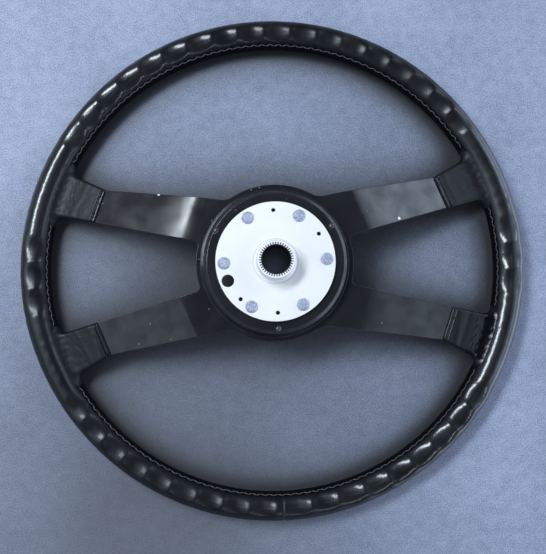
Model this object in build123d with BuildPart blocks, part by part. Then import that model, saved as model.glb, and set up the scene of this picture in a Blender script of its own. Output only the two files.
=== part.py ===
"""Four-spoke car steering wheel, lying on its rim with the column side up.

Millimetres. The origin is on the spline axis at the floor, and +Z is the column side.
"""

import os
from math import atan2, cos, degrees, hypot, pi, radians, sin, sqrt, tan

from build123d import *

os.makedirs("parts", exist_ok=True)

# Rim: the grip with its finger hollows, and the steel hoop inside it
wheel_diameter = 400.0
grip_diameter = 22.0
hollow_depth = 1.8
hollow_lean = 60.0
hollow_pitch = 6.43
side_hollows = 3
long_hollows = 18
hoop_width = 8.0
hoop_depth = 10.0

# Spider: one drawn sheet with a raised plateau and four bent spokes
sheet = 3.0
plateau_height = 56.0
plateau_radius = 53.6
wall_foot_radius = 56.7
wall_break = 2.0
flange_height = 44.5
flange_radius = 60.3
bend_reach = 71.5
bend_round = 37.0
spoke_angle = 11.8
spoke_offset = 24.0
spoke_root_width = 39.5
spoke_taper = 5.5
spoke_outer_fillet = 13.0
spoke_inner_fillet = 4.0

# Hub: the splined disc on the plateau
disc_radius = 44.9
disc_thickness = 3.0
collar_height = 16.0
collar_radius = 14.4
collar_foot = 1.4
collar_bevel = 0.8
boss_radius = 16.8
boss_length = 12.0
boss_clearance = 0.2
spline_teeth = 40
spline_tip_radius = 10.2
spline_depth = 2.0
spline_land = 0.4
nut_recess_radius = 14.0
nut_recess_depth = 4.0

# Rivets and holes in the disc and the plateau
rivet_count = 6
rivet_circle = 38.5
rivet_shank = 6.0
rivet_head = 9.5
rivet_crown = 6.4
rivet_head_height = 2.2
rivet_tail = 1.6
wire_hole = 9.4
wire_hole_angle = 200.0
pin_hole = 3.1
pin_hole_angles = (30.0, 90.0, 225.0, 270.0)

# Leather boots on the spoke ends
boot_reach = 146.0
boot_wall = 1.8
boot_spread = 4.0
boot_flare = 9.0
boot_edge = 1.6

# Sizes that follow from the ones above
grip_radius = grip_diameter / 2
lean_in = cos(radians(hollow_lean))
lean_up = sin(radians(hollow_lean))
rim_radius = wheel_diameter / 2 - grip_radius
rim_height = grip_radius
hoop_inside = rim_radius - hoop_width / 2
disc_top = plateau_height + disc_thickness
hub_back = disc_top + collar_height
hub_front = plateau_height - boss_length
hub_hole = boss_radius + boss_clearance
spoke_slope = (flange_height - sheet / 2 - rim_height) / (hoop_inside - bend_reach)

# Where the middle of a spoke meets its boot, and how wide the spoke is there
offset_along = spoke_offset * sin(radians(spoke_angle))
offset_across = spoke_offset * cos(radians(spoke_angle))
boot_along = sqrt(boot_reach**2 - offset_across**2) - offset_along
boot_angle = spoke_angle + degrees(atan2(offset_across, boot_along + offset_along))
narrowing = tan(radians(spoke_taper / 2))
spoke_end_width = spoke_root_width - 2 * boot_along * narrowing


def on_spoke(along, across):
    """A point of the upper right spoke's outline, from above."""
    east = along * cos(radians(spoke_angle)) - across * sin(radians(spoke_angle))
    north = along * sin(radians(spoke_angle)) + across * cos(radians(spoke_angle))
    return (east, spoke_offset + north)


def on_end(out, across):
    """A point of the upper right spoke's end, which runs straight out from the axis."""
    east = out * cos(radians(boot_angle)) - across * sin(radians(boot_angle))
    north = out * sin(radians(boot_angle)) + across * cos(radians(boot_angle))
    return (east, north)


# The sheet before its outline is cut: four flat spokes, each bent down along a straight line, and the raised plateau
wall_slope = (wall_foot_radius - plateau_radius) / (plateau_height - flange_height)
wall_step = sheet * (sqrt(1 + wall_slope**2) - wall_slope)
spoke_side = Plane((0, 0, 0), x_dir=(*on_end(1, 0), 0), z_dir=(*on_end(0, -1), 0))
sheet_reach = wheel_diameter / 2
sheet_end = rim_height - (sheet_reach - hoop_inside) * spoke_slope
with BuildPart() as dished_sheet:
    with BuildSketch(spoke_side):
        with BuildLine():
            back_side = FilletPolyline(
                (0, flange_height),
                (bend_reach, flange_height),
                (sheet_reach, sheet_end + sheet / 2),
                radius=bend_round + sheet,
            )
            front_side = FilletPolyline(
                (0, flange_height - sheet),
                (bend_reach, flange_height - sheet),
                (sheet_reach, sheet_end - sheet / 2),
                radius=bend_round,
            )
            Line(back_side @ 0, front_side @ 0)
            Line(back_side @ 1, front_side @ 1)
        make_face()
    extrude(amount=sheet_reach, both=True)
    with BuildSketch():
        Rectangle(sheet_reach, sheet_reach, align=(Align.MIN, Align.MIN))
    extrude(amount=plateau_height, mode=Mode.INTERSECT)
    mirror(about=Plane.YZ)
    mirror(about=Plane.XZ)
    with BuildSketch():
        Circle(flange_radius)
    extrude(amount=plateau_height, mode=Mode.SUBTRACT)
    with BuildSketch(Plane.XZ):
        with BuildLine():
            back_side = Polyline(
                (hub_hole, plateau_height),
                (plateau_radius - wall_break, plateau_height),
                (plateau_radius + wall_break * wall_slope, plateau_height - wall_break),
                (wall_foot_radius, flange_height),
                (flange_radius, flange_height),
            )
            front_side = Polyline(
                (hub_hole, plateau_height - sheet),
                (plateau_radius - wall_step, plateau_height - sheet),
                (wall_foot_radius - wall_step, flange_height - sheet),
                (flange_radius, flange_height - sheet),
            )
            Line(back_side @ 0, front_side @ 0)
            Line(back_side @ 1, front_side @ 1)
        make_face()
    revolve(axis=Axis.Z)

# The spider: its outline from above, cut out of that sheet
half_root = spoke_root_width / 2
half_end = spoke_end_width / 2
mitre = half_end * tan(radians(boot_angle - spoke_angle) / 2)


def at_flange(edge):
    """True for an upright edge on the flange's rim, where a spoke starts."""
    return hypot(edge.center().X, edge.center().Y) < flange_radius + sheet


def beside_hub(edge):
    """True for a corner between the two spokes of one side."""
    return abs(edge.center().Y) < abs(edge.center().X)


def above_hub(edge):
    """True for a corner between the left and the right spokes."""
    return not beside_hub(edge)


with BuildPart() as spoke_spider:
    with BuildSketch():
        with BuildLine():
            Polyline(
                on_spoke(0, half_root),
                on_end(boot_reach + mitre, half_end),
                on_end(wheel_diameter / 2, half_end),
                on_end(wheel_diameter / 2, -half_end),
                on_end(boot_reach - mitre, -half_end),
                on_spoke(0, -half_root),
                close=True,
            )
        make_face()
        mirror(about=Plane.YZ)
        mirror(about=Plane.XZ)
        Circle(flange_radius)
        Circle(hoop_inside, mode=Mode.INTERSECT)
    extrude(amount=plateau_height)
    uprights = spoke_spider.edges().filter_by(Axis.Z).filter_by(at_flange)
    fillet(uprights.filter_by(beside_hub), spoke_inner_fillet)
    uprights = spoke_spider.edges().filter_by(Axis.Z).filter_by(at_flange)
    fillet(uprights.filter_by(above_hub), spoke_outer_fillet)
    add(dished_sheet.part, mode=Mode.INTERSECT)
    with BuildSketch(Plane.XY.offset(plateau_height)):
        with PolarLocations(rivet_circle, rivet_count):
            Circle(rivet_shank / 2)
        with PolarLocations(rivet_circle, 1, start_angle=wire_hole_angle):
            Circle(wire_hole / 2)
    extrude(amount=-sheet, mode=Mode.SUBTRACT)
spoke_spider.part.label = "spoke_spider"
export_step(spoke_spider.part, "parts/spoke_spider.step")

# The splined hub: a turned disc with a collar behind it and a boss in front
tooth_pitch = 2 * pi * spline_tip_radius / spline_teeth
groove_half = tooth_pitch * (1 - spline_land) / 2
with BuildPart() as splined_hub:
    with BuildSketch(Plane.XZ):
        with BuildLine():
            Polyline(
                (spline_tip_radius, hub_back),
                (collar_radius - collar_bevel, hub_back),
                (collar_radius, hub_back - collar_bevel),
                (collar_radius, disc_top + collar_foot),
                (collar_radius + collar_foot, disc_top),
                (disc_radius, disc_top),
                (disc_radius, plateau_height),
                (boss_radius, plateau_height),
                (boss_radius, hub_front),
                (nut_recess_radius, hub_front),
                (nut_recess_radius, hub_front + nut_recess_depth),
                (spline_tip_radius, hub_front + nut_recess_depth),
                close=True,
            )
        make_face()
    revolve(axis=Axis.Z)
    with BuildSketch(Plane.XY.offset(hub_front)):
        with PolarLocations(spline_tip_radius, spline_teeth):
            Polygon(
                (-spline_depth, -2 * groove_half),
                (-spline_depth, 2 * groove_half),
                (spline_depth, 0),
                align=None,
            )
    extrude(amount=hub_back - hub_front, mode=Mode.SUBTRACT)
    with BuildSketch(Plane.XY.offset(disc_top)):
        with PolarLocations(rivet_circle, rivet_count):
            Circle(rivet_shank / 2)
        with PolarLocations(rivet_circle, 1, start_angle=wire_hole_angle):
            Circle(wire_hole / 2)
        for angle in pin_hole_angles:
            with PolarLocations(rivet_circle, 1, start_angle=angle):
                Circle(pin_hole / 2)
    extrude(amount=-disc_thickness, mode=Mode.SUBTRACT)
splined_hub.part.label = "splined_hub"
export_step(splined_hub.part, "parts/splined_hub.step")

# Six rivets through the disc and the plateau, with their heads hammered flat
rivet_front = plateau_height - sheet - rivet_tail
with BuildPart() as one_rivet:
    with BuildSketch(Plane.XZ):
        with BuildLine():
            Polyline(
                (0, rivet_front),
                (rivet_shank / 2, rivet_front),
                (rivet_shank / 2, disc_top),
                (rivet_head / 2, disc_top),
                (rivet_crown / 2, disc_top + rivet_head_height),
                (0, disc_top + rivet_head_height),
                close=True,
            )
        make_face()
    revolve(axis=Axis.Z)
with BuildPart() as hub_rivets:
    with PolarLocations(rivet_circle, rivet_count):
        add(one_rivet.part)
hub_rivets.part.label = "hub_rivets"
export_step(hub_rivets.part, "parts/hub_rivets.step")

# The steel hoop inside the rim, welded to the spoke ends
with BuildPart() as rim_hoop:
    with BuildSketch(Plane.XZ):
        with Locations((rim_radius, rim_height)):
            Rectangle(hoop_width, hoop_depth)
    revolve(axis=Axis.Z)
rim_hoop.part.label = "rim_hoop"
export_step(rim_hoop.part, "parts/rim_hoop.step")

# The grip's form: a quarter turn of finger hollows between ridges, smooth around the spoke, then mirrored
half_pitch = hollow_pitch / 2
smooth_start = side_hollows * half_pitch
smooth_end = 90 - long_hollows * half_pitch
with BuildPart() as grip_form:
    for start, half_hollows, first in ((0, side_hollows, 1), (smooth_end, long_hollows, 0)):
        for step in range(half_hollows + 1):
            sink = hollow_depth / 2 * ((first + step) % 2)
            with BuildSketch(Plane.XZ.rotated((0, 0, start + step * half_pitch))):
                with Locations((rim_radius + sink * lean_in, rim_height - sink * lean_up)):
                    Circle(grip_radius - sink)
        loft(ruled=True)
    with BuildSketch(Plane.XZ.rotated((0, 0, smooth_start))):
        with Locations((rim_radius, rim_height)):
            Circle(grip_radius)
    revolve(axis=Axis.Z, revolution_arc=smooth_end - smooth_start)
    mirror(about=Plane.YZ)
    mirror(about=Plane.XZ)

# A leather boot, first laid along +X: a flat sleeve that flares into the rim
flare_at = rim_radius - grip_radius + boot_wall
boot_half = half_end + boot_wall
flare_half = boot_half + (flare_at - boot_reach) * tan(radians(boot_spread))
flare_end = flare_half + boot_flare + boot_wall
boot_height = rim_height + (hoop_inside - boot_reach) * spoke_slope
boot_slope = Plane((boot_reach, 0, boot_height), x_dir=(1, 0, -spoke_slope), z_dir=(spoke_slope, 0, 1))
with BuildPart() as boot_blank:
    with BuildSketch():
        with BuildLine():
            Polyline(
                (boot_reach, boot_half),
                (flare_at, flare_half),
                (flare_at, flare_end),
                (rim_radius, flare_end),
                (rim_radius, -flare_end),
                (flare_at, -flare_end),
                (flare_at, -flare_half),
                (boot_reach, -boot_half),
                close=True,
            )
        make_face()
    extrude(amount=plateau_height)
    creases = boot_blank.edges().filter_by(Axis.Z).group_by(Axis.X)[1].sort_by(Axis.Y)[1:-1]
    fillet(creases, boot_flare)
    with BuildSketch(boot_slope):
        Rectangle(2 * rim_radius, 2 * rim_radius)
    extrude(amount=sheet / 2 + boot_wall, both=True, mode=Mode.INTERSECT)
    for face in boot_blank.faces().filter_by(boot_slope):
        chamfer(face.edges().sort_by(Axis.X)[1:], boot_edge)

# The upper right boot sits on the grip and around its spoke, and the others mirror it
with BuildPart() as boot_upper_right:
    add(boot_blank.part, rotation=(0, 0, boot_angle))
    add(grip_form.part, mode=Mode.SUBTRACT)
    add(spoke_spider.part, mode=Mode.SUBTRACT)
boot_upper_right.part.label = "boot_upper_right"
export_step(boot_upper_right.part, "parts/boot_upper_right.step")

with BuildPart() as boot_upper_left:
    mirror(boot_upper_right.part, about=Plane.YZ)
boot_upper_left.part.label = "boot_upper_left"
export_step(boot_upper_left.part, "parts/boot_upper_left.step")

with BuildPart() as boot_lower_right:
    mirror(boot_upper_right.part, about=Plane.XZ)
boot_lower_right.part.label = "boot_lower_right"
export_step(boot_lower_right.part, "parts/boot_lower_right.step")

with BuildPart() as boot_lower_left:
    mirror(boot_upper_left.part, about=Plane.XZ)
boot_lower_left.part.label = "boot_lower_left"
export_step(boot_lower_left.part, "parts/boot_lower_left.step")

# The padded leather grip, closed around the hoop and the spoke ends
with BuildPart() as rim_grip:
    add(grip_form.part)
    add(rim_hoop.part, mode=Mode.SUBTRACT)
    add(spoke_spider.part, mode=Mode.SUBTRACT)
rim_grip.part.label = "rim_grip"
export_step(rim_grip.part, "parts/rim_grip.step")
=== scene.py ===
"""Looks of a four-spoke car steering wheel that lies on its rim, column side up. Metres and radians."""

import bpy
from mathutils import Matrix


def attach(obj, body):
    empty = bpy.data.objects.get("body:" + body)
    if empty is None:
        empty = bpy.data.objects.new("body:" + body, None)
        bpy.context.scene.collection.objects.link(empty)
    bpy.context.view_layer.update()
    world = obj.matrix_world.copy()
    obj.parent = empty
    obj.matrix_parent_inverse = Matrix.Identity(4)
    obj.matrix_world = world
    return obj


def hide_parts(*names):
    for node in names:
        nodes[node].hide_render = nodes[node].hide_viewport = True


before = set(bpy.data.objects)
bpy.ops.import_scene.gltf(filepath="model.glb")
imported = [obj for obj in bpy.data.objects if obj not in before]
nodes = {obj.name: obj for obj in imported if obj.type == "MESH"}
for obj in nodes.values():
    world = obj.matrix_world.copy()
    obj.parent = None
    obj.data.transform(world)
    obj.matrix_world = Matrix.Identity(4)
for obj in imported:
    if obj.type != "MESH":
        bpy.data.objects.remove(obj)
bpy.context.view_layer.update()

from math import cos, pi, radians, sin, tau

import bmesh
import bpy
import numpy as np
from mathutils import Matrix, Vector

MM = 0.001

# Rim: a padded leather section that leans outwards, with finger hollows between ridges on its back
wheel_radius = 200 * MM
grip_radius = 11 * MM
rim_radius = wheel_radius - grip_radius
rim_height = grip_radius
outer_fullness = 1.5 * MM
inner_flatness = 1.0 * MM
ridge_pitch = radians(6.43)
side_hollows = 3
quarter_hollows = 9
seam_hollow = radians(8.33)
hollow_depth = 1.6 * MM
hollow_outer = radians(32)
hollow_outer_fade = radians(44)
hollow_inner = radians(151)
hollow_inner_fade = radians(66)
hollow_middle = radians(98)
ridge_round = 0.9 * MM
ridge_start = radians(12)
left_side = radians(195)
left_width = radians(40)
left_slimness = 0.6
side_swell = 1.2 * MM
side_width = radians(24)
unevenness = 0.05 * MM
floor_gap = 0.02 * MM
dull_place = radians(65)
steps_round = 960
steps_across = 80
crowding = 0.45

# Seams of the rim's leather
seam_turn = radians(150)
seam_groove = 0.55 * MM
seam_width = radians(3)
seam_fine = radians(9)
butt_seam = radians(269.8)
butt_groove = 0.4 * MM
butt_width = 0.35 * MM
butt_fine = 2.4 * MM
stitch_length = 3.3 * MM
stitch_half = radians(4)
thread_radius = 0.4 * MM

# Spokes: flat steel, bent down towards the rim
sheet = 3 * MM
flange_height = 44.5 * MM
bend_reach = 71.5 * MM
bend_middle = 68 * MM
bend_soft = 9 * MM
bend_sink = 0.5 * MM
spoke_half = 13.1 * MM
hoop_inside = rim_radius - 4 * MM
spoke_slope = (flange_height - sheet / 2 - rim_height) / (hoop_inside - bend_reach)
paint_chips = ((-0.0875, 0.0578, 0.036), (0.0988, 0.0315, 0.0355))
chip_radius = 1.2 * MM

# Boots: the leather sleeves on the spoke ends
boot_angle = radians(21.06)
boot_reach = 144.6 * MM
boot_half = 13.9 * MM
boot_spread = 0.12
boot_depth = 3.1 * MM
boot_corner = 2.2 * MM
boot_longest = 45 * MM
boot_cover = 27 * MM
boot_root = 164 * MM
fold_end = 172 * MM
root_sunk = 0.1 * MM
root_buried = 0.8 * MM
lip_round = 0.4 * MM
hem_width = 3.4 * MM
hem_rise = 0.3 * MM
hem_groove = 0.6 * MM
cut_round = 0.5 * MM
flare_side = 9 * MM
flare_back = 9 * MM
flare_front = 5 * MM

# Hub: the toothed bore, and the plateau with its three small rivets
spline_outside = 12.7 * MM
spline_teeth = 40
groove_share = 0.1
tooth_lead = 11.1 * MM
# Painted shade: radii of two dark rings round the collar's edge and foot, and the grey of the hub's painted
# edge shade
collar_shade_lines = (14.2 * MM, 16.8 * MM)
shade_line_grey = (0.3, 0.33, 0.42)
collar_height = 75 * MM
plateau_height = 56 * MM
small_rivet_circle = 50.3 * MM
small_rivet_radius = 2.2 * MM
small_rivet_height = 1.1 * MM
small_rivet_sunk = 0.2 * MM

# Table and camera
table_half = 6.0
# Painted shadow on the table: darker towards a point at the lower left, fading over this reach
painted_shadow_place = (-115 * MM, -215 * MM, 0)
painted_shadow_reach = 300 * MM
# Reach of the painted shade that darkens the table under the wheel
painted_shade_reach = 300 * MM
camera_place = Vector((-21.2, -52.73, 665.57)) * MM
camera_target = Vector((-1.44, -9.49, 25)) * MM
camera_up = Vector((0.045, 0.999, 0))
camera_lens = 53.08
lamp_target = Vector((0, 0, 30)) * MM

rng = np.random.default_rng(5)


# Meshes


def loft(rows, ring=False):
    """Points and faces of a skin over closed loops of points, one loop a row."""
    count, width = rows.shape[:2]
    last = count if ring else count - 1
    row, column = np.meshgrid(np.arange(last), np.arange(width), indexing="ij")
    below = (row + 1) % count
    beside = (column + 1) % width
    corners = (row * width + column, below * width + column, below * width + beside, row * width + beside)
    return rows.reshape(-1, 3), np.stack(corners, -1).reshape(-1, 4)


def piece(name, points, faces, material, slot):
    """A smooth piece of the object, with its faces turned outwards."""
    mesh = bpy.data.meshes.new(name)
    mesh.from_pydata(points.tolist(), [], faces.tolist())
    shape = bmesh.new()
    shape.from_mesh(mesh)
    bmesh.ops.recalc_face_normals(shape, faces=shape.faces)
    shape.to_mesh(mesh)
    shape.free()
    mesh.shade_smooth()
    mesh.materials.append(material)
    made = bpy.data.objects.new(name, mesh)
    bpy.context.scene.collection.objects.link(made)
    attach(made, "root")
    return made


def join(parts):
    """Points and faces of several skins as one."""
    points, faces, start = [], [], 0
    for some_points, some_faces in parts:
        points.append(some_points)
        faces.append(some_faces + start)
        start += len(some_points)
    return np.concatenate(points), np.concatenate(faces)


# Shader nodes


def shader(name):
    """A new material, its node tree and its main shader."""
    made = bpy.data.materials.new(name)
    made.use_nodes = True
    tree = made.node_tree
    return made, tree, tree.nodes["Principled BSDF"]


def add(tree, kind, *links, **values):
    """A new node. Links are (input, output socket) pairs and values set its inputs or properties."""
    made = tree.nodes.new("ShaderNode" + kind)
    for name, value in values.items():
        if hasattr(made, name):
            setattr(made, name, value)
        else:
            made.inputs[name.replace("_", " ").title()].default_value = value
    for name, source in links:
        tree.links.new(source, made.inputs[name])
    return made


def feed(tree, skin, *inputs):
    """Sets a shader's inputs, given as pairs of a name and a socket or a plain value."""
    for name, source in inputs:
        if isinstance(source, bpy.types.NodeSocket):
            tree.links.new(source, skin.inputs[name])
        else:
            skin.inputs[name].default_value = source


def fed(skin, name):
    """The socket that feeds a shader's input."""
    return skin.inputs[name].links[0].from_socket


def own_space(tree):
    """The object's own coordinates."""
    return add(tree, "TexCoord").outputs["Object"]


def noise(tree, scale, detail):
    """Noise of the object's own space, with features of one metre over scale."""
    return add(tree, "TexNoise", ("Vector", own_space(tree)), scale=scale, detail=detail).outputs["Fac"]


def cells(tree, scale):
    """Distance to the nearest of scattered points in the object's own space."""
    return add(tree, "TexVoronoi", ("Vector", own_space(tree)), scale=scale).outputs["Distance"]


def ramp(tree, source, low, high, start, end):
    """A number that goes from start to end while the source goes from low to high."""
    made = add(tree, "MapRange", ("Value", source))
    for name, value in zip(("From Min", "From Max", "To Min", "To Max"), (low, high, start, end)):
        made.inputs[name].default_value = value
    return made.outputs["Result"]


def tint(tree, share, under, over):
    """A colour between two colours or colour sockets, by a number from 0 to 1."""
    made = add(tree, "Mix", ("Factor", share), data_type="RGBA")
    for socket, colour in zip((made.inputs[6], made.inputs[7]), (under, over)):
        if isinstance(colour, tuple):
            socket.default_value = (*colour, 1)
        else:
            tree.links.new(colour, socket)
    return made.outputs[2]


def calc(tree, operation, first, second=0.0):
    """One sum on numbers or sockets."""
    made = add(tree, "Math", operation=operation)
    for socket, value in zip(made.inputs, (first, second)):
        if isinstance(value, (int, float)):
            socket.default_value = value
        else:
            tree.links.new(value, socket)
    return made.outputs["Value"]


def bumped(tree, height, strength, distance, *under, **values):
    """A normal that is bumped by a height, over another normal if one is given."""
    links = [("Height", height)] + [("Normal", normal) for normal in under]
    return add(tree, "Bump", *links, strength=strength, distance=distance, **values).outputs["Normal"]


def axes(tree):
    """The three coordinates of the object's own space."""
    return add(tree, "SeparateXYZ", ("Vector", own_space(tree))).outputs


def from_axis(tree):
    """Distance from the wheel's axis."""
    place = axes(tree)
    squares = [calc(tree, "MULTIPLY", place[name], place[name]) for name in "XY"]
    return calc(tree, "SQRT", calc(tree, "ADD", *squares))


def round_axis(tree):
    """Angle round the wheel's axis."""
    place = axes(tree)
    return calc(tree, "ARCTAN2", place["Y"], place["X"])


def along_spoke(tree):
    """Distance out along the nearest spoke."""
    place = axes(tree)
    east = calc(tree, "MULTIPLY", calc(tree, "ABSOLUTE", place["X"]), cos(boot_angle))
    north = calc(tree, "MULTIPLY", calc(tree, "ABSOLUTE", place["Y"]), sin(boot_angle))
    return calc(tree, "ADD", east, north)


def away_from(tree, point):
    """Distance from a point."""
    made = add(tree, "VectorMath", ("Vector", own_space(tree)), operation="DISTANCE")
    made.inputs[1].default_value = point
    return made.outputs["Value"]


def edges(tree, radius):
    """How much a point lies on an outside or inside edge, from 0 to 1, and the softened normal there."""
    soft = add(tree, "Bevel", samples=6, radius=radius).outputs["Normal"]
    hard = add(tree, "NewGeometry").outputs["True Normal"]
    made = add(tree, "VectorMath", operation="DOT_PRODUCT")
    tree.links.new(soft, made.inputs[0])
    tree.links.new(hard, made.inputs[1])
    return ramp(tree, made.outputs["Value"], 0.99, 0.75, 0, 1), soft


# Materials


def leather(name, rough, mottle, grain):
    """Black leather: grain by bump, rubbed smooth in patches."""
    made, tree, skin = shader(name)
    patches = noise(tree, mottle, 5)
    pores = calc(tree, "MULTIPLY", cells(tree, 800), 0.7)
    fine = calc(tree, "MULTIPLY", noise(tree, 2600, 2), 0.5)
    feed(tree, skin,
         ("Base Color", tint(tree, patches, (0.0008, 0.001, 0.0015), (0.0035, 0.004, 0.0055))),
         ("Roughness", ramp(tree, patches, 0.3, 0.7, rough - 0.06, rough + 0.08)),
         ("Specular IOR Level", 0.55),
         ("Specular Tint", (0.91, 0.95, 1.0, 1)),
         ("Normal", bumped(tree, calc(tree, "ADD", pores, fine), grain, 0.25 * MM)))
    return made, tree, skin


def rim_leather_look():
    """Leather of the rim: polished at the upper left and lower right, with painted grey light on its right
    outer flank.
    """
    made, tree, skin = leather("rim_leather", 0.38, 70, 0.14)
    angle = round_axis(tree)
    out = from_axis(tree)
    outside = ramp(tree, out, rim_radius + 2 * MM, rim_radius + 5 * MM, 0, 1)
    inside = ramp(tree, out, rim_radius - 4 * MM, rim_radius - 9 * MM, 0, 1)
    right = ramp(tree, calc(tree, "COSINE", angle), 0.76, 0.9, 0, 1)
    patchy = ramp(tree, noise(tree, 120, 4), 0.3, 0.6, 0.6, 1)
    # Painted light: a grey patch on the right outer flank stands in for light from the right side
    wear_and_painted_light = calc(tree, "MULTIPLY", calc(tree, "MULTIPLY", outside, right), patchy)
    twice = calc(tree, "MULTIPLY", calc(tree, "SUBTRACT", angle, dull_place), 2)
    rubbed = ramp(tree, calc(tree, "COSINE", twice), 0.9, -0.6, 0.08, 1.0)
    from_left = calc(tree, "COSINE", calc(tree, "SUBTRACT", angle, left_side))
    polish = calc(tree, "MULTIPLY", rubbed, ramp(tree, from_left, 0.88, 0.97, 1, 0.3))
    feed(tree, skin,
         ("Base Color", tint(tree, wear_and_painted_light, fed(skin, "Base Color"), (0.075, 0.081, 0.095))),
         ("Roughness", calc(tree, "ADD", fed(skin, "Roughness"), calc(tree, "MULTIPLY", inside, 0.2))),
         ("Specular IOR Level", ramp(tree, inside, 0, 1, 0.4, 0.06)),
         ("Coat Weight", calc(tree, "MULTIPLY", polish, ramp(tree, inside, 0, 1, 1, 0))),
         ("Coat Roughness", 0.13),
         ("Coat Normal", fed(skin, "Normal")))
    return made


def boot_leather_look():
    """Duller leather of the boots, smooth along the hem and rubbed shiny at the lower right one's root."""
    made, tree, skin = leather("boot_leather", 0.46, 260, 0.3)
    place = axes(tree)
    out = along_spoke(tree)
    lower_right = calc(tree, "SUBTRACT", place["X"], place["Y"])
    near_hem = ramp(tree, out, boot_reach + hem_width + 2 * MM, boot_reach + hem_width, 0, 1)
    near_root = calc(tree, "MULTIPLY", ramp(tree, out, boot_root - 1 * MM, boot_root + 4 * MM, 0, 1),
                     ramp(tree, lower_right, 150 * MM, 190 * MM, 0, 1))
    smooth = calc(tree, "MULTIPLY", calc(tree, "MAXIMUM", near_hem, near_root), 0.26)
    feed(tree, skin,
         ("Roughness", calc(tree, "SUBTRACT", fed(skin, "Roughness"), smooth)),
         ("Specular IOR Level", 0.38))
    return made


def paint():
    """Satin black paint on steel, rubbed pale along its edges and chipped here and there."""
    made, tree, skin = shader("black_paint")
    patches = noise(tree, 45, 5)
    wear_and_painted_light, soft = edges(tree, 0.8 * MM)
    from_bend = calc(tree, "DIVIDE", calc(tree, "SUBTRACT", along_spoke(tree), bend_middle), bend_soft)
    fall = calc(tree, "MULTIPLY", calc(tree, "MULTIPLY", from_bend, from_bend), -1)
    bend = bumped(tree, calc(tree, "EXPONENT", fall), 1.0, bend_sink, soft, invert=True)
    rubbed = calc(tree, "MULTIPLY", wear_and_painted_light, ramp(tree, noise(tree, 160, 4), 0.4, 0.7, 0, 0.35))
    flecks = ramp(tree, cells(tree, 95), 0.06, 0.045, 0, 0.5)
    colour = tint(tree, patches, (0.010, 0.011, 0.013), (0.020, 0.021, 0.025))
    colour = tint(tree, rubbed, colour, (0.20, 0.21, 0.23))
    colour = tint(tree, flecks, colour, (0.35, 0.36, 0.38))
    for spot in paint_chips:
        chip = ramp(tree, away_from(tree, spot), chip_radius, 0.8 * chip_radius, 0, 1)
        colour = tint(tree, chip, colour, (0.85, 0.86, 0.88))
    gloss = ramp(tree, patches, 0.35, 0.65, 0.14, 0.22)
    feed(tree, skin,
         ("Base Color", colour),
         ("Roughness", calc(tree, "ADD", gloss, calc(tree, "MULTIPLY", wear_and_painted_light, 0.4))),
         ("Specular IOR Level", ramp(tree, noise(tree, 85, 6), 0.35, 0.65, 0.3, 0.52)),
         ("Normal", bumped(tree, noise(tree, 900, 3), 0.1, 0.1 * MM, bend)))
    return made


def worn_paint():
    """Black paint of the small rivets' heads, rubbed pale and dull."""
    made, tree, skin = shader("small_rivet_paint")
    patches = noise(tree, 700, 3)
    feed(tree, skin,
         ("Base Color", tint(tree, patches, (0.012, 0.013, 0.016), (0.06, 0.062, 0.068))),
         ("Roughness", ramp(tree, patches, 0.3, 0.7, 0.2, 0.34)),
         ("Specular IOR Level", 0.8),
         ("Normal", bumped(tree, patches, 0.2, 0.2 * MM)))
    return made


def plating():
    """Bright plated steel with the fine rings of its turning, painted shade along its edges and round its
    collar, and painted shade in its toothed bore.
    """
    made, tree, skin = shader("plated_steel")
    out = from_axis(tree)
    turned = add(tree, "TexNoise", noise_dimensions="1D", scale=2500.0, detail=4.0)
    tree.links.new(out, turned.inputs["W"])
    rings = turned.outputs["Fac"]
    wear_and_painted_light, soft = edges(tree, 0.4 * MM)
    # Painted shade: dark inside the bore, in the grooves between the teeth and on the teeth's tops near the
    # bore
    within = ramp(tree, out, spline_outside + 0.2 * MM, spline_outside, 0, 1)
    below = ramp(tree, axes(tree)["Z"], collar_height - 0.15 * MM, collar_height - 0.5 * MM, 0, 1)
    bore = calc(tree, "MULTIPLY", within, below)
    wave = calc(tree, "COSINE", calc(tree, "MULTIPLY", round_axis(tree), spline_teeth))
    groove = calc(tree, "MULTIPLY", ramp(tree, wave, groove_share - 0.25, groove_share + 0.25, 0, 1),
                  ramp(tree, out, spline_outside + 0.15 * MM, spline_outside - 0.15 * MM, 0, 1))
    tooth_lead_shade = ramp(tree, out, tooth_lead + 0.2 * MM, tooth_lead - 0.2 * MM, 0, 1)
    painted_bore_shade = calc(tree, "MAXIMUM", calc(tree, "MAXIMUM", bore, tooth_lead_shade), groove)
    colour = tint(tree, noise(tree, 70, 5), (0.93, 0.91, 0.89), (0.98, 0.97, 0.95))
    # Painted shade: grey along the hub's edges and in rings round the collar
    colour = tint(tree, calc(tree, "MULTIPLY", wear_and_painted_light, 0.5), colour, shade_line_grey)
    for reach in collar_shade_lines:
        away = calc(tree, "ABSOLUTE", calc(tree, "SUBTRACT", out, reach))
        colour = tint(tree, ramp(tree, away, 0.5 * MM, 0.1 * MM, 0, 0.45), colour, shade_line_grey)
    feed(tree, skin,
         ("Base Color", tint(tree, painted_bore_shade, colour, (0.02, 0.021, 0.024))),
         ("Metallic", 0.15),
         ("Roughness", ramp(tree, rings, 0.3, 0.7, 0.38, 0.52)),
         ("Normal", bumped(tree, rings, 0.1, 0.05 * MM, soft)))
    return made


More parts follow.
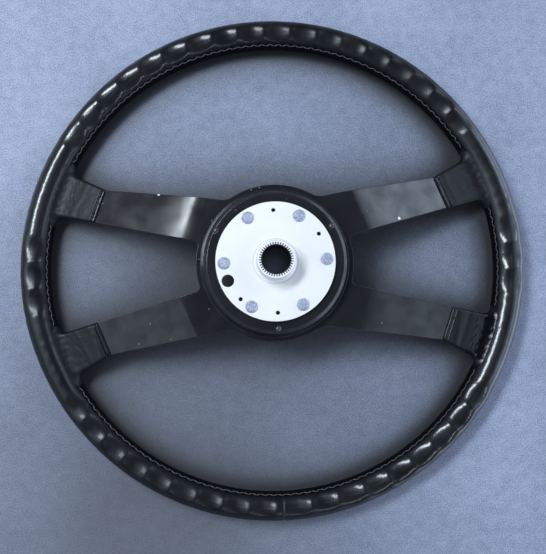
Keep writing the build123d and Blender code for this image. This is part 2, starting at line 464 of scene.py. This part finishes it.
def hammered():
    """Blue-grey steel of a rivet's head, with the marks of the tool that closed it and painted shade along
    its edge.
    """
    made, tree, skin = shader("rivet_steel")
    marks = noise(tree, 800, 3)
    wear_and_painted_light, soft = edges(tree, 0.5 * MM)
    head = tint(tree, ramp(tree, marks, 0.35, 0.65, 0, 1), (0.26, 0.29, 0.40), (0.66, 0.70, 0.86))
    # Painted shade: the head's colour darkens along its edges
    feed(tree, skin,
         ("Base Color", tint(tree, wear_and_painted_light, head, (0.16, 0.17, 0.21))),
         ("Metallic", 0.5),
         ("Roughness", ramp(tree, marks, 0.3, 0.7, 0.55, 0.38)),
         ("Normal", bumped(tree, marks, 0.5, 0.3 * MM, soft)))
    return made


def mill_steel():
    """Plain drawn steel."""
    made, tree, skin = shader("bare_steel")
    streaks = noise(tree, 300, 4)
    feed(tree, skin,
         ("Base Color", tint(tree, streaks, (0.36, 0.36, 0.37), (0.52, 0.52, 0.53))),
         ("Metallic", 1.0),
         ("Roughness", ramp(tree, streaks, 0.3, 0.7, 0.3, 0.5)))
    return made


def thread_yarn():
    """Grey sewing thread."""
    made, tree, skin = shader("thread")
    fibres = noise(tree, 3500, 2)
    feed(tree, skin,
         ("Base Color", tint(tree, fibres, (0.02, 0.021, 0.024), (0.12, 0.125, 0.135))),
         ("Roughness", 0.32),
         ("Normal", bumped(tree, fibres, 0.4, 0.1 * MM)))
    return made


def table_top():
    """Plain pale blue-grey table with a fine grain, a painted shadow at the lower left, painted shade under
    the wheel and a painted patch of light under the bore.
    """
    made, tree, skin = shader("table")
    specks = noise(tree, 1000, 3)
    stains = ramp(tree, noise(tree, 130, 4), 0.3, 0.7, 0, 0.2)
    clouds = ramp(tree, noise(tree, 14, 3), 0.3, 0.7, 0, 0.2)
    rough = calc(tree, "ADD", ramp(tree, specks, 0.34, 0.66, 0, 0.6), stains)
    pale = tint(tree, calc(tree, "ADD", rough, clouds), (0.15, 0.175, 0.245), (0.5, 0.56, 0.75))
    # Painted shadow: the table's colour darkens towards the lower left
    painted_shadow = ramp(tree, away_from(tree, painted_shadow_place), painted_shadow_reach, 40 * MM, 0, 0.75)
    with_painted_shadow = tint(tree, painted_shadow, pale, (0.06, 0.058, 0.058))
    # Painted shade: occlusion darkens the table's colour inside the rim and under the hub and spokes,
    # towards a near-black shade colour
    painted_occlusion = add(tree, "AmbientOcclusion", samples=8, distance=painted_shade_reach).outputs["AO"]
    out = from_axis(tree)
    beside = ramp(tree, out, rim_radius, wheel_radius - 2 * MM, 0, 1)
    # Painted light: less painted shade near the axis, a lighter patch on the table under the bore
    painted_light_through_bore = ramp(tree, out, 30 * MM, 2 * MM, 0.3, 0.76)
    lit = calc(tree, "MAXIMUM", painted_occlusion, calc(tree, "MAXIMUM", beside, painted_light_through_bore))
    feed(tree, skin,
         ("Base Color", tint(tree, ramp(tree, lit, 0.58, 1.0, 0, 1), (0.03, 0.032, 0.036), with_painted_shadow)),
         ("Roughness", 0.6),
         ("Normal", bumped(tree, specks, 0.35, 0.4 * MM)))
    return made


rim_skin = rim_leather_look()
boot_skin = boot_leather_look()
nodes["spoke_spider"].material_slots[0].material = paint()
nodes["splined_hub"].material_slots[0].material = plating()
nodes["hub_rivets"].material_slots[0].material = hammered()
nodes["rim_hoop"].material_slots[0].material = mill_steel()


# The rim


def ease(value):
    """0 to 1 with soft ends."""
    value = np.clip(value, 0, 1)
    return value * value * (3 - 2 * value)


def dip(distance, width):
    """A narrow groove, 1 in its middle."""
    return np.exp(-((distance / width) ** 2))


def hollow_groups():
    """First ridge, number of hollows and pitch of each group. A longer hollow lies across the butt seam."""
    side = side_hollows / 2 * ridge_pitch
    after_seam = 3 * pi / 2 + ridge_pitch
    before_seam = after_seam - seam_hollow
    return ((-side, side_hollows, ridge_pitch),
            (pi / 2 - quarter_hollows * ridge_pitch, 2 * quarter_hollows, ridge_pitch),
            (pi - side, side_hollows, ridge_pitch),
            (before_seam - quarter_hollows * ridge_pitch, quarter_hollows, ridge_pitch),
            (before_seam, 1, seam_hollow),
            (after_seam, quarter_hollows - 1, ridge_pitch))


def hollow(angle):
    """Depth of the finger hollows round the rim: 1 between ridges, 0 on a ridge and on the smooth parts."""
    deep = np.zeros_like(angle)
    for start, count, pitch in hollow_groups():
        along = (angle - start) % tau / pitch
        away = np.abs(along - np.round(along)) * pitch * rim_radius
        part = (np.hypot(away, ridge_round) - ridge_round) / (pitch * rim_radius / 2)
        deep = np.where(along < count, 1 - (1 - part) ** 2.4, deep)
    return deep


def section(turn, deep=0.0, full=outer_fullness):
    """Radius of the rim's section at a turn from outwards (0) over the back (a quarter turn) to inwards."""
    corner = np.sin(2 * turn) * ease(2.5 * np.sin(turn))
    lean = np.where(corner > 0, full, inner_flatness) * corner
    outer = ease((turn - hollow_outer - ridge_start * (1 - deep)) / hollow_outer_fade)
    inner = ease((hollow_inner - turn) / hollow_inner_fade)
    return grip_radius + lean - hollow_depth * deep * outer * inner


def on_rim(angle, turn, radius):
    """Points round the rim's middle line."""
    reach = rim_radius + radius * np.cos(turn)
    return np.stack([reach * np.cos(angle), reach * np.sin(angle), rim_height + radius * np.sin(turn)], -1)


def wobble(angle, turn):
    """Soft unevenness of stuffed leather, about -1 to 1, without a step after a full turn."""
    waves = rng.integers((35, 0), (170, 4), (9, 2))
    phases = rng.uniform(0, tau, 9)
    return sum(np.sin(n * angle + m * turn + p) for (n, m), p in zip(waves, phases)) / 3


def rim_leather():
    """The leather of the rim, with finger hollows, the sewn groove and the butt seam at the bottom."""
    plain = np.linspace(0, tau, steps_round, endpoint=False)
    plain = plain[np.abs(plain - butt_seam) > (butt_fine + 0.2 * MM) / rim_radius]
    close = butt_seam + np.linspace(-butt_fine, butt_fine, 25) / rim_radius
    angle = np.sort(np.concatenate([plain, close]))[:, None]
    spread = np.linspace(0, tau, steps_across, endpoint=False)
    turns = (spread - crowding * np.sin(spread - hollow_middle)) % tau
    turns = turns[np.abs(turns - seam_turn) > seam_fine + radians(1)]
    near = seam_turn + np.linspace(-seam_fine, seam_fine, 13)
    turn = np.sort(np.concatenate([turns, near]))[None, :]
    full = outer_fullness * (1 - left_slimness * dip(angle - left_side, left_width))
    fold = np.abs((angle + pi / 2) % pi - pi / 2)
    radius = section(turn, hollow(angle), full) + unevenness * wobble(angle, turn)
    radius = radius + side_swell * dip(fold, side_width) * ease(np.cos(turn))
    radius = radius - seam_groove * dip(turn - seam_turn, seam_width)
    radius = radius - butt_groove * dip((angle - butt_seam) * rim_radius, butt_width)
    rows = on_rim(angle, turn, radius)
    rows[..., 2] = np.maximum(rows[..., 2], floor_gap)
    return loft(rows, ring=True)


# The sewing thread


def tube(path, radius, sides=8):
    """A skin over a line of points, narrowed almost to a point at both ends."""
    along = np.gradient(path, axis=0)
    along /= np.linalg.norm(along, axis=1, keepdims=True)
    aside = np.cross(along, (0, 0, 1))
    aside /= np.linalg.norm(aside, axis=1, keepdims=True)
    above = np.cross(aside, along)
    around = np.linspace(0, tau, sides, endpoint=False)[None, :, None]
    size = np.full((len(path), 1, 1), radius)
    size[0] = size[-1] = radius * 0.2
    rows = path[:, None] + size * (np.cos(around) * aside[:, None] + np.sin(around) * above[:, None])
    return loft(rows)


def stitches():
    """A zigzag thread over the sewn groove, left out where the boots cover it."""
    inner = rim_radius - grip_radius
    count = 2 * round(pi * inner / stitch_length)
    step = tau / count
    made = []
    for number in range(count):
        start = number * step
        fold = abs((start + step / 2 + pi / 2) % pi - pi / 2)
        if abs(fold - boot_angle) < boot_cover / inner:
            continue
        way = 1 if number % 2 else -1
        part = np.linspace(0, 1, 7)
        angle = start + step * part
        turn = seam_turn + way * stitch_half * (2 * part - 1)
        over = thread_radius * (0.2 + 0.9 * np.sin(pi * part))
        path = on_rim(angle, turn, section(turn, hollow(angle)) + over)
        made.append(tube(path, thread_radius))
    return join(made)


# The boots


def sleeve_loop(half, depth, corner):
    """A flat sleeve's section: across and up, and the outward direction there."""
    quarter = np.linspace(0, pi / 2, 7)
    middles = ((1, 1, 0), (-1, 1, pi / 2), (-1, -1, pi), (1, -1, 3 * pi / 2))
    points, outward = [], []
    for number, (east, up, first) in enumerate(middles):
        way = np.stack([np.cos(first + quarter), np.sin(first + quarter)], -1)
        corner_at = np.array([east * (half - corner), up * (depth - corner)])
        points.append(corner_at + corner * way)
        outward.append(way)
        next_east, next_up, next_first = middles[(number + 1) % 4]
        next_at = np.array([next_east * (half - corner), next_up * (depth - corner)])
        steps = 36 if number % 2 == 0 else 3
        share = np.linspace(0, 1, steps + 2)[1:-1, None]
        end_way = np.array([cos(next_first), sin(next_first)])
        points.append((corner_at + corner * end_way) * (1 - share) + (next_at + corner * end_way) * share)
        outward.append(np.repeat(end_way[None], steps, 0))
    return np.concatenate(points), np.concatenate(outward)


def spoke_up(out):
    """Height of the spoke's middle at a distance out from the axis."""
    return rim_height + (hoop_inside - out) * spoke_slope


def on_spoke(out, loop):
    """Points of a sleeve's section around the spoke at a distance out from the axis."""
    up = spoke_up(out) + loop[:, 1]
    return np.stack([out + 0 * up, loop[:, 0], up], -1)


def above_rim(points):
    """How far points lie outside the rim's plain section, and their angle and turn on it."""
    angle = np.arctan2(points[:, 1], points[:, 0])
    east = np.hypot(points[:, 0], points[:, 1]) - rim_radius
    up = points[:, 2] - rim_height
    turn = np.arctan2(up, east) % tau
    return np.hypot(east, up) - section(turn), angle, turn


def sleeve_at(out):
    """Section of the boot at a distance out from the axis, or at one distance for each of its points."""
    loop, outward = sleeve_loop(boot_half, boot_depth, boot_corner)
    wide = 1 + boot_spread * (out - boot_reach) / boot_half
    return np.stack([loop[:, 0] * wide, loop[:, 1]], -1), outward


def rim_meeting():
    """For each point of the boot's section, how far out it meets the rim's leather."""
    low = np.full(len(sleeve_at(boot_reach)[0]), boot_reach)
    high = low + boot_longest
    for _ in range(40):
        middle = (low + high) / 2
        outside = above_rim(on_spoke(middle, sleeve_at(middle)[0]))[0] > 0
        low = np.where(outside, middle, low)
        high = np.where(outside, high, middle)
    return low


def boot_rows():
    """Rows of the boot that points along +X, from inside its cut edge to under the rim's leather."""
    reach = rim_meeting()
    loop, outward = sleeve_at(reach)
    meet = on_spoke(reach, loop)
    _, angle, turn = above_rim(meet)
    flare = np.where(outward[:, 1] > 0, flare_back, flare_front) * outward[:, 1] ** 2
    flare = flare + flare_side * outward[:, 0] ** 2
    end_angle = angle + outward[:, 0] * flare_side / (rim_radius - grip_radius)
    end_turn = turn - outward[:, 1] * flare / grip_radius
    end = on_rim(end_angle, end_turn, section(end_turn) - root_sunk)
    buried = on_rim(end_angle, end_turn, section(end_turn) - root_buried)
    tight, _ = sleeve_loop(spoke_half, sheet / 2 + 0.1 * MM, 0.5 * MM)
    lip, _ = sleeve_loop(boot_half - lip_round, boot_depth - lip_round, 2 * MM)
    rows = [on_spoke(boot_reach + 4 * MM, tight), on_spoke(boot_reach, tight), on_spoke(boot_reach, lip)]
    first = boot_reach + 0.5 * MM
    leave = reach - flare
    for share in np.linspace(0, 1, 72)[:-1] ** 1.4:
        out = first + (leave - first) * share
        rows.append(on_spoke(out, sleeve_at(out)[0]))
    start = on_spoke(leave, sleeve_at(leave)[0])
    for share in np.linspace(0, 1, 18):
        rows.append(start * (1 - share) ** 2 + meet * 2 * share * (1 - share) + end * share**2)
    rows.append(buried)
    return np.stack(rows)


def ripples(out, across, count, spread, height):
    """Small waves in many directions."""
    total = np.zeros_like(out)
    for _ in range(count):
        wave = rng.normal(0, spread, 2)
        total += height * np.sin(wave[0] * out + wave[1] * across + rng.uniform(0, tau))
    return total


def creases(out, across):
    """A few broad folds across the boot."""
    total = np.zeros_like(out)
    for _ in range(4):
        place = boot_reach + rng.uniform(6, 20) * MM
        tilt = rng.normal(0, 0.1)
        line = out - place - tilt * across
        total += rng.uniform(-0.45, 0.35) * MM * dip(line, rng.uniform(1.8, 3.2) * MM)
    return total


def hem(edge):
    """Height of the hem by the distance from the cut edge: a rise, a sewn groove and the rounded edge."""
    rise = hem_rise * edge / hem_width * ease((hem_width - edge) / (0.5 * MM))
    groove = hem_groove * dip(edge - hem_width, 0.6 * MM)
    return rise - groove - cut_round * (1 - ease(edge / (1.1 * MM)))


def boot(name, east, north):
    """One boot, turned on its spoke and mirrored to its quarter, with its own creases."""
    rows = boot_rows()
    out, across, up = rows[..., 0], rows[..., 1], rows[..., 2]
    back = ease((up - spoke_up(out)) / (2 * MM))
    held = ease((out - boot_reach) / (3 * MM)) * ease((fold_end - out) / (8 * MM))
    root = ease((out - boot_root) / (5 * MM))
    folds = creases(out, across) + ripples(out, across, 12, 600, 0.012 * MM)
    wrinkles = ripples(out, across, 14, 900, 0.025 * MM)
    up = up + (folds * held + wrinkles * root + hem(out - boot_reach)) * back
    x = out * cos(boot_angle) - across * sin(boot_angle)
    y = out * sin(boot_angle) + across * cos(boot_angle)
    return piece(name, *loft(np.stack([east * x, north * y, up], -1)), boot_skin, "leather")


# The three small rivets at the plateau's edge


def small_rivets():
    """Domed heads on the plateau."""
    lean = np.linspace(0, pi / 2, 9)[:, None]
    around = np.linspace(0, tau, 28, endpoint=False)[None, :]
    reach = small_rivet_radius * np.cos(lean * 0.97)
    up = plateau_height - small_rivet_sunk + (small_rivet_height + small_rivet_sunk) * np.sin(lean)
    made = []
    for angle in (radians(30), radians(150), radians(270)):
        east = small_rivet_circle * cos(angle) + reach * np.cos(around)
        north = small_rivet_circle * sin(angle) + reach * np.sin(around)
        made.append(loft(np.stack([east, north, up + 0 * around], -1)))
    return join(made)


rim = piece("rim_leather", *rim_leather(), rim_skin, "leather")
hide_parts("rim_grip")
piece("seam_thread", *stitches(), thread_yarn(), "leather")
for level, north in (("upper", 1), ("lower", -1)):
    for side, east in (("right", 1), ("left", -1)):
        sleeve = boot(f"boot_leather_{level}_{side}", east, north)
        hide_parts(f"boot_{level}_{side}")
piece("small_rivets", *small_rivets(), worn_paint(), "black_paint")


# Table, light and camera


def table():
    """The table, a plain wide sheet."""
    quarters = ((-1, -1), (1, -1), (1, 1), (-1, 1))
    corners = [(east * table_half, north * table_half, 0) for east, north in quarters]
    mesh = bpy.data.meshes.new("table")
    mesh.from_pydata(corners, [], [(0, 1, 2, 3)])
    mesh.materials.append(table_top())
    made = bpy.data.objects.new("table", mesh)
    bpy.context.scene.collection.objects.link(made)


def direction(polar, azimuth):
    """Unit vector at an angle from straight up and an angle round from +X."""
    return Vector((sin(polar) * cos(azimuth), sin(polar) * sin(azimuth), cos(polar)))


def aim(thing, place, target, up):
    """Sets a lamp or a camera at a place, looking at the target."""
    back = (place - target).normalized()
    right = up.cross(back).normalized()
    turn = Matrix((right, back.cross(right), back)).transposed()
    thing.matrix_world = Matrix.Translation(place) @ turn.to_4x4()


def lamp(name, polar, azimuth, distance, wide, tall, brightness, colour):
    """A soft box that looks at the wheel's middle. Brightness is what its surface sends out."""
    data = bpy.data.lights.new(name, "AREA")
    data.shape = "RECTANGLE"
    data.size = wide
    data.size_y = tall
    data.energy = brightness * pi * wide * tall
    data.color = colour
    made = bpy.data.objects.new(name, data)
    bpy.context.scene.collection.objects.link(made)
    made.visible_camera = False
    place = distance * direction(radians(polar), radians(azimuth))
    aim(made, place, lamp_target, Vector((0, 0, 1)))


def camera():
    """The camera, as fitted to the rim, the disc and the rivets in the picture."""
    data = bpy.data.cameras.new("camera")
    data.sensor_width = 36
    data.lens = camera_lens
    made = bpy.data.objects.new("camera", data)
    bpy.context.scene.collection.objects.link(made)
    aim(made, camera_place, camera_target, camera_up)
    bpy.context.scene.camera = made


def sky():
    """Soft light from all round, most of it from low down and from the right."""
    made = bpy.data.worlds.new("world")
    made.use_nodes = True
    tree = made.node_tree
    way = add(tree, "SeparateXYZ", ("Vector", add(tree, "TexCoord").outputs["Generated"])).outputs
    low = ramp(tree, way["Z"], 0.52, 0.3, 0, 1)
    right = ramp(tree, way["X"], 0.35, 0.85, 0.15, 1)
    glow = tint(tree, calc(tree, "MULTIPLY", low, right), (0.05, 0.057, 0.07), (2.2, 2.5, 3.0))
    feed(tree, tree.nodes["Background"], ("Color", glow))
    bpy.context.scene.world = made


table()
lamp("key", 32, 143, 1.6, 0.8, 0.32, 23, (0.82, 0.91, 1.0))
lamp("left", 46, 192, 1.4, 1.1, 0.8, 1.3, (0.74, 0.85, 1.0))
lamp("upper_right", 49, 30, 1.4, 0.45, 0.35, 5.4, (0.70, 0.83, 1.0))
lamp("right", 47, 348, 1.4, 0.5, 0.3, 1.9, (0.70, 0.83, 1.0))
lamp("near_side", 39, 290, 1.4, 1.0, 0.1, 7.0, (0.74, 0.85, 1.0))
camera()
sky()
bpy.context.scene.view_settings.view_transform = "Standard"

bpy.context.view_layer.update()
